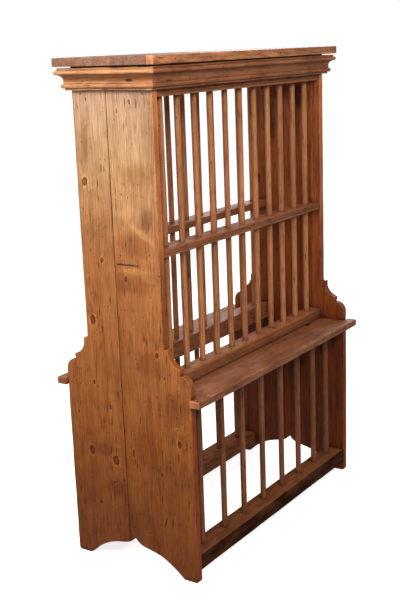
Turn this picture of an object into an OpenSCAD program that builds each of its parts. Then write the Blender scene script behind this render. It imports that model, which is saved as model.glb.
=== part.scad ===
// Free-standing two-sided plate rack in pine.
// Two solid ends carry four tiers of rails, front and rear alike. Upright spindles
// stand in bored holes and hold plates on edge between them. The frame narrows above
// the waist, where a shelf runs along each side.
// X runs along the rack, the front faces -Y, and Z = 0 is the floor.

/* [Overall] */
// Height from the floor to the top of the top board
overall_h = 1600; // [1450:10:1700]
// Width over the outer faces of the two ends
ends_w = 1040; // [860:10:1160]
// Depth of the ends below the waist
lower_d = 478; // [440:2:540]
// Depth of the ends above the waist
upper_d = 294; // [260:2:310]
// Thickness of the boards in the ends
board_t = 25; // [22:1:30]

/* [Ends] */
// Where the two boards of an end meet, measured back from the middle
board_joint_y = 20; // [10:1:40]
// Height where the curved shoulder begins on the edges of the ends
shoulder_z = 744; // [720:2:800]
// Height of the pointed arch between the feet
arch_h = 100; // [80:1:110]
// Half the width of the arch at the floor
arch_half_w = 187; // [150:1:195]

/* [Spindles] */
// Diameter of a spindle
spindle_d = 20; // [16:0.5:22]
// Long spindles in each upper row
long_count = 11; // [9:1:13]
// Distance between the centres of the long spindles
long_pitch = 88; // [60:1:90]
// Short spindles in the front lower row
short_front_count = 8; // [5:1:8]
// Distance between the centres of the short spindles in front
short_front_pitch = 122; // [70:1:122]
// Short spindles in the rear lower row
short_rear_count = 7; // [5:1:7]
// Distance between the centres of the short spindles at the rear
short_rear_pitch = 134; // [80:1:140]

/* [Rails] */
// Height of the top face of the middle rails
middle_rail_z = 1040; // [960:5:1120]
// Thickness of the middle and top rails
rail_t = 24; // [20:1:28]
// Depth of the middle and top rails, front to back
rail_d = 65; // [56:1:70]
// Height of the top face of the bottom rails
bottom_rail_z = 86; // [76:1:110]
// Thickness of the bottom rails
bottom_rail_t = 50; // [40:1:54]
// Depth of the bottom rails, front to back
bottom_rail_d = 80; // [76:1:90]

/* [Waist shelves] */
// Height of the top face of the shelves
shelf_z = 602; // [590:1:610]
// Thickness of the shelves
shelf_t = 24; // [20:1:26]
// How far a shelf stands in front of the edge of the ends
shelf_nose = 36; // [25:1:45]
// How far the ears of a shelf reach past the outer faces of the ends
ear_w = 10; // [6:1:16]
// Thickness of the waist rails that lie on the shelves
waist_rail_t = 36; // [30:1:40]

/* [Top] */
// Thickness of the top board
top_t = 25.5; // [22:0.5:28]
// How far the top board overhangs the ends on every side
top_overhang = 38; // [38:1:50]
// Width of the lipping strips along the top board
lipping_w = 26; // [20:1:34]
// Height of the cornice moulding
cornice_h = 65; // [65:1:72]

/* [Hidden] */
$fn = 64;
eps = 0.1;                              // overrun of a cut past a face
glue_gap = 0.1;                         // clearance round a tenon, a spindle or a nail
half_w = ends_w / 2;
inner_x = half_w - board_t;             // inner face of an end
lower_y = lower_d / 2;
upper_y = upper_d / 2;
top_z = overall_h - top_t;              // underside of the top board
cornice_gap = 4.5;                      // dark line between the cornice and the top board
cornice_z = top_z - cornice_gap - cornice_h;

// shoulder on the edges of the ends, from the top down
shoulder_step = 16;                     // square step out under the straight edge
shoulder_drop = 20;                     // upright run above the cove
cove_w = 40;                            // width of the cove, a shallow hollow
cove_h = 37;                            // height of the cove
cove_r = 54;                            // radius of its curve
fillet_h = 12;                          // flat band below the cove
quirk_h = 6;                            // narrow band set back under the fillet
quirk_in = 2.5;                         // how far the quirk is set back
ovolo_r = 36;                           // full quarter round that meets the lower edge
fillet_z = shoulder_z - shoulder_drop - cove_h;
ovolo_top_z = fillet_z - fillet_h - quirk_h;
cove_in_y = upper_y + shoulder_step;    // inner edge of the cove, and its outer edge
cove_y = cove_in_y + cove_w;
cove_chord = norm([cove_w, cove_h]);
cove_off = sqrt(pow(cove_r, 2) - pow(cove_chord / 2, 2)) / cove_chord;
cove_centre = [cove_in_y + cove_w / 2 + cove_h * cove_off, fillet_z + cove_h / 2 + cove_w * cove_off];

// arch between the feet: a sharp peak on a low swept curve
peak_h = 30;                            // height of the sharp peak alone
peak_w = 18;                            // distance in which the peak dies away
arch_steps = 22;
function arch_at(y) = peak_h * exp(-y / peak_w)
    + (arch_h - peak_h) * cos(90 * pow(y / arch_half_w, 1.5));

// rails and spindles
rail_setback = 4;                       // rails lie this far behind the edge of the ends
rail_y = upper_y - rail_setback;        // front face of the middle and top rails
long_y = rail_y - 30;                   // line of the long spindles
top_rail_z = cornice_z + 2;             // top face of the top rails
waist_rail_z = shelf_z + waist_rail_t;  // top face of the waist rails
waist_rail_d = 60;
shelf_front_y = lower_y + shelf_nose;
shelf_back_y = upper_y - waist_rail_d - 2;
short_y = lower_y - 46;                 // line of the short spindles
socket_h = 16;                          // depth of a blind socket for a spindle
shelf_socket_h = 12;
short_front_shift = 22;                 // the front lower row lies this far to the right
short_front_slip = [-15, -5, -5, 0, 10, 10, 5, -15];  // how far each hole is off the even row
short_rear_shift = 9;
short_rear_slip = [0, 0, 0, 14, 5, 0, 0];
tenon_l = 12;                           // stub tenons on the rails
housing_d = 8;                          // housing for the shelf in the ends
reed_r = 1.8;                           // radius of the scratched reeds on the rails
long_z0 = waist_rail_z - socket_h;
long_z1 = top_rail_z - rail_t + socket_h;
short_z0 = bottom_rail_z - socket_h;
short_z1 = shelf_z - shelf_t + shelf_socket_h;

// nails
nail_d = 2.6;
nail_l = 46;
head_d = 6;
head_t = 1.4;

function row_x(i, count, pitch) = (i - (count + 1) / 2) * pitch;
function short_front_x(i) = row_x(i, short_front_count, short_front_pitch)
    + short_front_shift + short_front_slip[i - 1];
function short_rear_x(i) = row_x(i, short_rear_count, short_rear_pitch)
    + short_rear_shift + short_rear_slip[i - 1];

// ---------- helpers ----------

// a block given by its middle in X, and by its other faces
module block(w, y0, y1, z0, z1) {
    translate([-w / 2, y0, z0]) cube([w, y1 - y0, z1 - z0]);
}

// the children as drawn, which is the front, or turned to the rear
module facing(rear) {
    if (rear) rotate(180) children();
    else children();
}

// ---------- nails ----------

// one cut nail, head flush at the origin, point towards -Z
module nail(grow) {
    translate([0, 0, -nail_l - grow]) cylinder(d = nail_d + 2 * grow, h = nail_l + grow);
    over = grow > 0 ? eps : 0;
    translate([0, 0, -head_t - grow]) cylinder(d = head_d + 2 * grow, h = head_t + grow + over);
}

// nails driven through an end into the shelf, the rails and their tenons
module end_nails(grow) {
    places = [
        for (y = [115, 165, 222]) [y, shelf_z - shelf_t / 2],
        for (y = [180, 216]) [y, bottom_rail_z - bottom_rail_t / 2],
        [long_y, middle_rail_z - rail_t / 2],
        [long_y, top_rail_z - rail_t / 2]
    ];
    for (side = [-1, 1], face = [-1, 1], p = places)
        translate([side * half_w, face * p[0], p[1]]) rotate([0, side * 90, 0]) nail(grow);
}

// nails that hold the waist rails down on the shelves
module waist_nails(grow) {
    for (face = [-1, 1], x = [-half_w + 41, -long_pitch / 2, long_pitch / 2, half_w - 41])
        translate([x, face * (long_y + 4), waist_rail_z]) nail(grow);
}

// nails through the cornice into the edges and faces of the ends
module cornice_nails(grow) {
    neck_z = cornice_z + 27;
    neck_out = 16;
    for (side = [-1, 1], face = [-1, 1]) {
        translate([side * (half_w - board_t / 2), face * (upper_y + neck_out), neck_z])
            rotate([-face * 90, 0, 0]) nail(grow);
        translate([side * (half_w + neck_out), face * 90, neck_z])
            rotate([0, side * 90, 0]) nail(grow);
    }
}

// nails down through the top board, and through the lippings into its edges
module top_nails(grow) {
    for (side = [-1, 1], y = [-105, 5, 105])
        translate([side * (half_w - board_t / 2), y, overall_h]) nail(grow);
    for (face = [-1, 1], x = [-450, -150, 150, 450])
        translate([x, face * (upper_y + top_overhang), overall_h - top_t / 2])
            rotate([-face * 90, 0, 0]) nail(grow);
}

module all_nails(grow) {
    end_nails(grow);
    waist_nails(grow);
    cornice_nails(grow);
    top_nails(grow);
}

module cut_nails() {
    color("#4a4441") all_nails(0);
}

// ---------- ends ----------

// outline of half an end, from its middle to its front edge; Y goes along the first axis
module half_end_outline() {
    difference() {
        union() {
            translate([-upper_y, 0]) square([upper_y, top_z]);
            translate([-lower_y, 0]) square([lower_y, ovolo_top_z - ovolo_r]);
            translate([-lower_y + ovolo_r, 0]) square([lower_y - ovolo_r, ovolo_top_z]);
            translate([-lower_y + ovolo_r, ovolo_top_z - ovolo_r]) circle(r = ovolo_r);
            translate([-cove_y + quirk_in, 0]) square([cove_y - quirk_in, fillet_z]);
            translate([-cove_y, fillet_z - fillet_h]) square([cove_y, fillet_h]);
            translate([-cove_in_y, fillet_z]) square([cove_in_y, cove_h + shoulder_drop]);
            difference() {
                translate([-cove_y, fillet_z]) square([cove_w + eps, cove_h]);
                translate([-cove_centre[0], cove_centre[1]]) circle(r = cove_r);
            }
        }
        polygon([
            [eps, -eps],
            [eps, arch_at(0)],
            for (i = [0:arch_steps]) let (y = arch_half_w * i / arch_steps) [-y, arch_at(y)],
            [-arch_half_w, -eps]
        ]);
    }
}

module end_outline() {
    half_end_outline();
    mirror([1, 0]) half_end_outline();
}

// sockets in the inner face of an end, drawn for the right end at its front half
module end_sockets() {
    g = glue_gap;
    // housing for the shelf, open at the front edge
    translate([inner_x - eps, -lower_y - eps, shelf_z - shelf_t - g])
        cube([housing_d + eps + g, lower_y - shelf_back_y + eps + g, shelf_t + 2 * g]);
    rail_tenons(g);
}

// stub tenons of the front rails; the same shape, a little larger, cuts their mortises
module rail_tenons(grow) {
    tenon(rail_y, rail_d, middle_rail_z, rail_t, grow);
    tenon(rail_y, rail_d, top_rail_z, rail_t, grow);
    tenon(upper_y - 2, waist_rail_d, waist_rail_z, waist_rail_t, grow);
    tenon(lower_y - 1, bottom_rail_d, bottom_rail_z, bottom_rail_t, grow);
}

// one tenon of a rail, a third of its thickness, clear of its front and back faces
module tenon(front_y, depth, z_top, thick, grow) {
    shoulder = 9;
    translate([inner_x - eps, -front_y + shoulder - grow, z_top - thick * 2 / 3 - grow])
        cube([tenon_l + eps + grow, depth - 2 * shoulder + 2 * grow, thick / 3 + 2 * grow]);
}

module side_board(side, rear) {
    y0 = rear ? board_joint_y : -lower_y - eps;
    y1 = rear ? lower_y + eps : board_joint_y;
    difference() {
        translate([side > 0 ? inner_x : -half_w, 0, 0])
            rotate([90, 0, 90])
                linear_extrude(board_t)
                    intersection() {
                        end_outline();
                        translate([y0, -eps]) square([y1 - y0, overall_h]);
                    }
        scale([side, 1, 1]) end_sockets();
        scale([side, -1, 1]) end_sockets();
        end_nails(glue_gap);
        cornice_nails(glue_gap);
        top_nails(glue_gap);
    }
}

module left_side_front_board() { color("#c98a52") side_board(-1, false); }
module left_side_rear_board() { color("#cc9058") side_board(-1, true); }
module right_side_front_board() { color("#c98a52") side_board(1, false); }
module right_side_rear_board() { color("#cc9058") side_board(1, true); }

// ---------- top ----------

module top_board() {
    edge_y = upper_y + top_overhang - lipping_w;
    color("#a06a48") difference() {
        block(ends_w + 2 * top_overhang, -edge_y, edge_y, top_z, overall_h);
        top_nails(glue_gap);
    }
}

module top_lipping() {
    edge_y = upper_y + top_overhang;
    difference() {
        block(ends_w + 2 * top_overhang, -edge_y, -edge_y + lipping_w, top_z, overall_h);
        top_nails(glue_gap);
    }
}

module top_front_lipping() { color("#9a5f3c") top_lipping(); }
module top_rear_lipping() { color("#9a5f3c") facing(true) top_lipping(); }

// ---------- cornice ----------

// section of the moulding: out from the face of the end, and up from its bottom edge
module cornice_section() {
    base_out = 13;
    lower_bead = [15, 13];
    bead_r = 7;
    neck_out = 16;
    cove_out = 33;
    cove_top = 46;
    upper_bead = [29, 52];
    difference() {
        union() {
            square([base_out, cornice_h]);
            translate([0, lower_bead[1]]) square([neck_out, cornice_h - lower_bead[1]]);
            translate(lower_bead) circle(r = bead_r);
            translate([0, cove_top - (cove_out - neck_out)]) square([cove_out, cove_out - neck_out]);
            translate([0, cove_top]) square([upper_bead[0], cornice_h - cove_top]);
            translate(upper_bead) circle(r = bead_r);
        }
        translate([cove_out, cove_top - (cove_out - neck_out)]) circle(r = cove_out - neck_out);
    }
}

// a length of moulding along X on a face at depth y, mitred at both ends
module cornice_length(length, y) {
    reach = top_overhang + 2;
    difference() {
        intersection() {
            translate([-length / 2 - reach, -y, cornice_z])
                rotate([90, 0, 90])
                    linear_extrude(length + 2 * reach) mirror([1, 0]) cornice_section();
            translate([0, 0, cornice_z - eps])
                linear_extrude(cornice_h + 2 * eps)
                    polygon([
                        [-length / 2, -y], [length / 2, -y],
                        [length / 2 + reach, -y - reach], [-length / 2 - reach, -y - reach]
                    ]);
        }
        children();
    }
}

module cornice_front() {
    color("#96603a") cornice_length(ends_w, upper_y) cornice_nails(glue_gap);
}

module cornice_rear() {
    color("#96603a") facing(true) cornice_length(ends_w, upper_y) cornice_nails(glue_gap);
}

module cornice_left() {
    color("#d9a070") rotate(-90) cornice_length(upper_d, half_w) rotate(90) cornice_nails(glue_gap);
}

module cornice_right() {
    color("#d9a070") rotate(90) cornice_length(upper_d, half_w) rotate(-90) cornice_nails(glue_gap);
}

// ---------- rails ----------

// bored holes for the long spindles, from z0 to z1
module long_bores(z0, z1) {
    for (i = [1:long_count])
        translate([row_x(i, long_count, long_pitch), -long_y, z0])
            cylinder(d = spindle_d + 2 * glue_gap, h = z1 - z0);
}

// bored holes for one row of short spindles, drawn on the front line; the rear row is
// drawn mirrored, because turning it to the rear puts it right
module short_bores(rear, z0, z1) {
    row = rear ? [for (i = [1:short_rear_count]) -short_rear_x(i)]
        : [for (i = [1:short_front_count]) short_front_x(i)];
    for (x = row)
        translate([x, -short_y, z0]) cylinder(d = spindle_d + 2 * glue_gap, h = z1 - z0);
}

// two reeds scratched along the front face of a rail
module reeds(front_y, z_top, thick) {
    for (f = [0.3, 0.62])
        translate([-inner_x - eps, -front_y, z_top - thick * f])
            rotate([0, 90, 0]) cylinder(r = reed_r, h = 2 * (inner_x + eps), $fn = 24);
}

// a rail between the ends with a stub tenon at each end
module rail(front_y, depth, z_top, thick) {
    block(2 * inner_x, -front_y, -front_y + depth, z_top - thick, z_top);
    tenon(front_y, depth, z_top, thick, 0);
    scale([-1, 1, 1]) tenon(front_y, depth, z_top, thick, 0);
}

module top_rail() {
    z0 = top_rail_z - rail_t;
    difference() {
        rail(rail_y, rail_d, top_rail_z, rail_t);
        reeds(rail_y, top_rail_z, rail_t);
        long_bores(z0 - eps, long_z1 + glue_gap);
        end_nails(glue_gap);
    }
}

module middle_rail() {
    difference() {
        rail(rail_y, rail_d, middle_rail_z, rail_t);
        reeds(rail_y, middle_rail_z, rail_t);
        long_bores(middle_rail_z - rail_t - eps, middle_rail_z + eps);
        end_nails(glue_gap);
    }
}

module waist_rail() {
    difference() {
        rail(upper_y - 2, waist_rail_d, waist_rail_z, waist_rail_t);
        reeds(upper_y - 2, waist_rail_z, waist_rail_t);
        long_bores(long_z0 - glue_gap, waist_rail_z + eps);
        waist_nails(glue_gap);
    }
}

module shelf(rear) {
    housed_w = 2 * (inner_x + housing_d);
    difference() {
        union() {
            block(housed_w, -lower_y, -shelf_back_y, shelf_z - shelf_t, shelf_z);
            block(ends_w + 2 * ear_w, -shelf_front_y, -lower_y, shelf_z - shelf_t, shelf_z);
        }
        short_bores(rear, shelf_z - shelf_t - eps, short_z1 + glue_gap);
        end_nails(glue_gap);
        waist_nails(glue_gap);
    }
}

module bottom_rail(rear) {
    difference() {
        rail(lower_y - 1, bottom_rail_d, bottom_rail_z, bottom_rail_t);
        short_bores(rear, short_z0 - glue_gap, bottom_rail_z + eps);
        end_nails(glue_gap);
    }
}

module top_rail_front() { color("#8d5534") top_rail(); }
module top_rail_rear() { color("#8d5534") facing(true) top_rail(); }
module middle_rail_front() { color("#8c553c") middle_rail(); }
module middle_rail_rear() { color("#8c553c") facing(true) middle_rail(); }
module waist_rail_front() { color("#875237") waist_rail(); }
module waist_rail_rear() { color("#875237") facing(true) waist_rail(); }
module shelf_front() { color("#82553c") shelf(false); }
module shelf_rear() { color("#82553c") facing(true) shelf(true); }
module bottom_rail_front() { color("#6e422b") bottom_rail(false); }
module bottom_rail_rear() { color("#6e422b") facing(true) bottom_rail(true); }

// ---------- spindles ----------

module long_spindle(i, face) {
    color("#b06a3c")
        translate([row_x(i, long_count, long_pitch), face * long_y, long_z0])
            cylinder(d = spindle_d, h = long_z1 - long_z0);
}

module short_spindle(x, face) {
    color("#8a5030")
        translate([x, face * short_y, short_z0])
            cylinder(d = spindle_d, h = short_z1 - short_z0);
}

left_side_front_board();
left_side_rear_board();
right_side_front_board();
right_side_rear_board();
top_board();
top_front_lipping();
top_rear_lipping();
cornice_front();
cornice_rear();
cornice_left();
cornice_right();
top_rail_front();
top_rail_rear();
middle_rail_front();
middle_rail_rear();
waist_rail_front();
waist_rail_rear();
shelf_front();
shelf_rear();
bottom_rail_front();
bottom_rail_rear();
for (i = [1:long_count]) {
    long_spindle(i, -1);
    long_spindle(i, 1);
}
for (i = [1:short_front_count])
    short_spindle(short_front_x(i), -1);
for (i = [1:short_rear_count])
    short_spindle(short_rear_x(i), 1);
cut_nails();
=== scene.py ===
"""A free-standing, two-sided plate rack in old waxed pine.

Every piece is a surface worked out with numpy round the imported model: boards are outlines
carried through their thickness with rubbed corners, rails and mouldings are sections carried
along the rack, and spindles are rods shaved by hand. All sizes are in metres.
"""
import math

import bpy
import numpy as np
from mathutils import Matrix, Vector


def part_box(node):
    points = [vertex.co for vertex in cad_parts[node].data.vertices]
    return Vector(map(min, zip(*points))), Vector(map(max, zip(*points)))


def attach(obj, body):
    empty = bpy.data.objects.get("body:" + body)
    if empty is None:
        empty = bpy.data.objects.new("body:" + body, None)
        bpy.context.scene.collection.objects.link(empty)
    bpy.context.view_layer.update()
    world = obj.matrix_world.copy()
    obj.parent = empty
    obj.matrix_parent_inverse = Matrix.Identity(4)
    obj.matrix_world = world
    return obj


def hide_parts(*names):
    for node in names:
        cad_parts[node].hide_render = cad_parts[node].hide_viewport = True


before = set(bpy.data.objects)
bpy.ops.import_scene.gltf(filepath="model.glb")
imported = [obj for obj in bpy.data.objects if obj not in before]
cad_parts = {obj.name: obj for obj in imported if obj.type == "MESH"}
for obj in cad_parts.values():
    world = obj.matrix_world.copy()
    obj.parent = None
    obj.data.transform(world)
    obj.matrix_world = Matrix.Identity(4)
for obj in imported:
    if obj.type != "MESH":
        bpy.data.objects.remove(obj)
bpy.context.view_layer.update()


# ---------- sizes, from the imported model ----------

def low(node):
    """The lowest corner of a node's box as an array."""
    return np.array(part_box(node)[0])


def high(node):
    """The highest corner of a node's box as an array."""
    return np.array(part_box(node)[1])


OUTER_X = high("right_side_front_board")[0]         # outer face of an end
INNER_X = low("right_side_front_board")[0]          # inner face of an end
LOWER_Y = high("left_side_rear_board")[1]           # edge of an end below the waist
JOINT_Y = low("left_side_rear_board")[1]            # where the two boards of an end meet
END_TOP = high("left_side_rear_board")[2]
TOP = high("top_board")[2]
UPPER_Y = -high("cornice_front")[1]                 # edge of an end above the waist
TOP_X, TOP_Y = high("top_rear_lipping")[:2]         # end and edge of the flat top
CORNICE_Z = low("cornice_front")[2]                 # lower edge of the cornice
SPINDLE_Y = -(low("long_spindle_front_1")[1] + high("long_spindle_front_1")[1]) / 2

FACES = ("front", "rear")
POINT_GAP = 0.012                                   # between points on the edge of a board
LIP = 0.0003                                        # flat ring inside a rubbed corner


def row(kind, face):
    """Names of the spindles in one row, such as the long ones in front."""
    start = f"{kind}_spindle_{face}_"
    return [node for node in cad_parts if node.startswith(start)]


# ---------- small numeric helpers ----------

def ripple(points, seed, wavelength, amount):
    """Smooth noise at each point: the sum of six sine waves in random directions, with
    lengths near the one given, scaled to lie mostly within plus or minus the amount."""
    rng = np.random.default_rng(seed)
    points = np.asarray(points, float)
    waves = rng.normal(size=(6, points.shape[-1]))
    waves /= np.linalg.norm(waves, axis=1)[:, None]
    waves *= 2 * math.pi / (wavelength * rng.uniform(0.6, 1.6, 6))[:, None]
    phases = rng.uniform(0, 2 * math.pi, 6)
    return amount * np.sin(points @ waves.T + phases).sum(-1) / 2.5


def arc(centre, radius, start, end, step=0.002):
    """Points on a circle from one angle to another, in degrees."""
    count = max(3, int(abs(math.radians(end - start)) * radius / step) + 2)
    angle = np.radians(np.linspace(start, end, count))
    return np.stack([centre[0] + radius * np.cos(angle), centre[1] + radius * np.sin(angle)], 1)


def walk(points, step):
    """The same path with extra points on its straight runs, none farther apart than a step."""
    points = np.asarray(points, float)
    out = [points[:1]]
    for a, b in zip(points[:-1], points[1:]):
        count = max(1, int(math.ceil(np.linalg.norm(b - a) / step)))
        out.append(a + (b - a) * (np.arange(1, count + 1) / count)[:, None])
    return np.concatenate(out)


def tidy_loop(points, least=2e-5):
    """A closed outline without repeated points, running anticlockwise."""
    points = np.asarray(points, float)
    gap = np.linalg.norm(points - np.roll(points, 1, axis=0), axis=1)
    points = points[gap > least]
    x, y = points.T
    area = np.sum(x * np.roll(y, -1) - y * np.roll(x, -1))
    return points if area > 0 else points[::-1]


def mitres(loop):
    """For each corner of an anticlockwise outline, the outward step that moves both of its
    edges out by one: the sum of the edge normals over one plus their product."""
    ahead = np.roll(loop, -1, axis=0) - loop
    ahead /= np.linalg.norm(ahead, axis=1)[:, None]
    normal = np.stack([ahead[:, 1], -ahead[:, 0]], 1)
    before = np.roll(normal, 1, axis=0)
    return (normal + before) / np.maximum(1 + (normal * before).sum(1), 0.35)[:, None]


# ---------- meshes ----------

def into_scene(name, data):
    """A new object that shows the mesh, light or camera given."""
    thing = bpy.data.objects.new(name, data)
    bpy.context.scene.collection.objects.link(thing)
    return thing


def add_piece(name, verts, faces, rub, material, nodes):
    """A mesh object on the rack's one body, with the rub attribute that marks worn corners.
    The four-sided faces are shaded smooth and the end faces flat."""
    mesh = bpy.data.meshes.new(name)
    mesh.from_pydata(verts.tolist(), [], faces)
    mesh.update()
    layer = mesh.attributes.new("rub", "FLOAT", "POINT")
    layer.data.foreach_set("value", np.ascontiguousarray(rub, np.float32))
    mesh.polygons.foreach_set("use_smooth", [len(face) == 4 for face in faces])
    mesh.set_sharp_from_angle(angle=math.radians(38))
    mesh.materials.append(material)
    piece = into_scene(name, mesh)
    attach(piece, "root")
    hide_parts(*nodes)
    return piece


def loft(rings, start=0):
    """Closed rings of equal length joined by four-sided faces and shut with a flat face at
    each end. Returns points and faces, turned so that the faces point outwards."""
    count, around = rings.shape[:2]
    verts = rings.reshape(-1, 3)
    i = np.arange(count - 1)[:, None] * around
    j = np.arange(around)[None, :]
    k = (j + 1) % around
    quads = np.stack([i + j, i + k, i + around + k, i + around + j], -1).reshape(-1, 4)
    first = np.arange(around)[::-1]
    last = (count - 1) * around + np.arange(around)
    a, b, c, d = (verts[quads[:, n]] for n in range(4))
    volume = np.einsum("ij,ij->i", a, np.cross(b, c) + np.cross(c, d)).sum()
    volume += fan_volume(verts[first]) + fan_volume(verts[last])
    faces = quads.tolist() + [first.tolist(), last.tolist()]
    if volume < 0:
        faces = [face[::-1] for face in faces]
    return verts, [[index + start for index in face] for face in faces]


def fan_volume(loop):
    """Six times the signed volume between a flat loop and the origin."""
    middle = loop.mean(0)
    return np.einsum("ij,j->i", np.cross(loop, np.roll(loop, -1, axis=0)), middle).sum()


def board_rings(loop, near, far, arris, seed):
    """Rings for an outline carried through its thickness, and how much each is rubbed.

    Each long corner is a quarter round of the local arris radius, drawn back from the outline
    by the radius times one minus the cosine, with a narrow flat ring inside it. Smooth noise
    then draws every ring in by a fraction of a millimetre."""
    out = mitres(loop)
    quarter = np.radians(np.linspace(90, 0, 5))
    inset = [arris + LIP] + [arris * (1 - np.cos(t)) for t in quarter]
    depth = [0 * arris] + [arris * (1 - np.sin(t)) for t in quarter]
    corner_rubs = [0.0, 0.35, 0.9, 1.0, 0.9, 0.35]
    middles = [0.33, 0.67]
    insets = inset + [0 * arris for _ in middles] + inset[::-1]
    depths = [near + d for d in depth]
    depths += [near + (far - near) * middle + 0 * arris for middle in middles]
    depths += [far - d for d in depth[::-1]]
    rings = np.zeros((len(insets), len(loop), 3))
    for ring, (back, level) in enumerate(zip(insets, depths)):
        rings[ring, :, :2] = loop - out * back[:, None]
        rings[ring, :, 2] = level
    drawn_in = ripple(rings, seed, 0.09, 0.00022) + ripple(rings, seed + 1, 0.35, 0.0003) + 0.0003
    rings[..., :2] -= out[None] * np.maximum(drawn_in, 0)[..., None]
    return rings, np.array(corner_rubs + [0.1, 0.1] + corner_rubs[::-1])


def wear_radius(loop, seed, radius):
    """Arris radius along an outline: the radius given, times about 0.6 to 1.5 by noise."""
    return radius * (1.05 + ripple(loop, seed, 0.16, 0.3) + ripple(loop, seed + 9, 0.03, 0.14))


# ---------- ends ----------

# the shoulder on the edge of an end, from the top down
SHOULDER_Z = 0.744
SHOULDER_STEP = 0.016           # square step out under the straight edge
SHOULDER_DROP = 0.020           # upright run above the cove
COVE_W = 0.040
COVE_H = 0.037
COVE_R = 0.054                  # radius of its curve
FILLET_H = 0.012                # flat band below the cove
QUIRK_H = 0.006                 # narrow band set back under the fillet
QUIRK_IN = 0.0025
OVOLO_R = 0.036                 # quarter round that meets the lower edge

# the arch between the feet
ARCH_H = 0.100
ARCH_HALF_W = 0.187
PEAK_H = 0.030                  # height of the sharp peak alone
PEAK_W = 0.018                  # distance in which the peak dies away
FOOT_R = 0.009                  # worn outer corner of a foot

# how round the corners of the boards are worn
BOARD_ARRIS = 0.0022
CARVED_ARRIS = 0.0016           # the most on the shoulder
CARVED_H = 0.130                # how far down from the top of the shoulder that holds
JOINT_ARRIS = 0.0008
JOINT_REACH = 0.008             # distance from the joint over which the corners sharpen
WORN_OVOLO = 0.0035             # more wear on the ovolo at the left in front


def arch_height(y):
    """Height of the arch between the feet: a sharp peak that dies away exponentially, on a
    quarter cosine of the distance to the power one and a half."""
    y = np.abs(y)
    low_curve = np.cos(0.5 * math.pi * np.minimum(y / ARCH_HALF_W, 1) ** 1.5)
    return PEAK_H * np.exp(-y / PEAK_W) + (ARCH_H - PEAK_H) * low_curve


def cove(low_end, high_end):
    """A shallow hollow between two points: an arc of the cove's radius, whose centre lies
    outside the middle of the chord."""
    low_end, high_end = np.array(low_end), np.array(high_end)
    chord = high_end - low_end
    length = np.linalg.norm(chord)
    outward = np.array([chord[1], -chord[0]]) / length
    centre = (low_end + high_end) / 2 + outward * math.sqrt(COVE_R ** 2 - length ** 2 / 4)
    start, end = (math.degrees(math.atan2(*(p - centre)[::-1])) % 360 for p in (low_end, high_end))
    return arc(centre, COVE_R, start, end)


def outer_edge():
    """The shaped edge of half an end from the foot to the top, as distance out and height."""
    cove_in = UPPER_Y + SHOULDER_STEP
    cove_y = cove_in + COVE_W
    cove_z = SHOULDER_Z - SHOULDER_DROP
    fillet_z = cove_z - COVE_H
    ovolo_z = fillet_z - FILLET_H - QUIRK_H
    parts = [
        [[ARCH_HALF_W, 0]],
        arc((LOWER_Y - FOOT_R, FOOT_R), FOOT_R, -90, 0),
        walk([[LOWER_Y, POINT_GAP], [LOWER_Y, ovolo_z - OVOLO_R]], POINT_GAP),
        arc((LOWER_Y - OVOLO_R, ovolo_z - OVOLO_R), OVOLO_R, 0, 90),
        [[cove_y - QUIRK_IN, ovolo_z], [cove_y - QUIRK_IN, ovolo_z + QUIRK_H]],
        [[cove_y, ovolo_z + QUIRK_H], [cove_y, fillet_z]],
        cove((cove_y, fillet_z), (cove_in, cove_z)),
        [[cove_in, SHOULDER_Z], [UPPER_Y, SHOULDER_Z]],
        walk([[UPPER_Y, SHOULDER_Z + 0.01], [UPPER_Y, END_TOP]], POINT_GAP),
    ]
    return np.concatenate([np.asarray(p, float) for p in parts])


def board_outline(face):
    """Outline of one board of an end in Y and Z: the arch, the shaped edge, the top and the
    joint. The arch has no point beside the joint, where its peak is too narrow for a lip."""
    sign = -1 if face == "front" else 1
    edge = outer_edge() * (sign, 1)
    y = np.delete(np.linspace(JOINT_Y, sign * ARCH_HALF_W, 90), 1)
    arch = np.stack([y, arch_height(y)], 1)
    joint = walk([[JOINT_Y, END_TOP], [JOINT_Y, arch_height(JOINT_Y)]], POINT_GAP)
    top = walk([edge[-1], [JOINT_Y, END_TOP]], POINT_GAP)
    return tidy_loop(np.concatenate([arch, edge, top, joint]))


def end_board(side, face, material):
    """One board of an end: its outline carried through its thickness in X. Its corners are
    sharper at the joint and on the shoulder. Those of the ovolo at the left in front are
    rounder, by a bell curve of the height."""
    loop = board_outline(face)
    seed = 10 + 4 * (side == "right") + 2 * (face == "rear")
    y, z = loop.T
    arris = wear_radius(loop, seed, BOARD_ARRIS)
    at_joint = np.clip(1 - np.abs(y - JOINT_Y) / JOINT_REACH, 0, 1)
    arris = arris * (1 - at_joint) + JOINT_ARRIS * at_joint
    carved = (z > SHOULDER_Z - CARVED_H) & (z < SHOULDER_Z + 0.006)
    arris = np.where(carved, np.minimum(arris, CARVED_ARRIS), arris)
    if (side, face) == ("left", "front"):
        bell = np.exp(-((z - 0.640) / 0.018) ** 2)
        arris = arris + WORN_OVOLO * np.where(np.abs(y) > 0.2, bell, 0)
    near, far = (-OUTER_X, -INNER_X) if side == "left" else (INNER_X, OUTER_X)
    rings, rub = board_rings(loop, near, far, arris, seed)
    verts, faces = loft(rings[..., [2, 0, 1]])
    kept = (1 - 0.8 * at_joint) * np.where(carved, 0.15, 1.0)
    rub = np.repeat(rub, len(loop)) * np.tile(kept, len(rub))
    name = f"{side}_side_{face}_board"
    return add_piece("old_" + name, verts, faces, rub, material, [name])


# ---------- flat boards ----------

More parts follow.
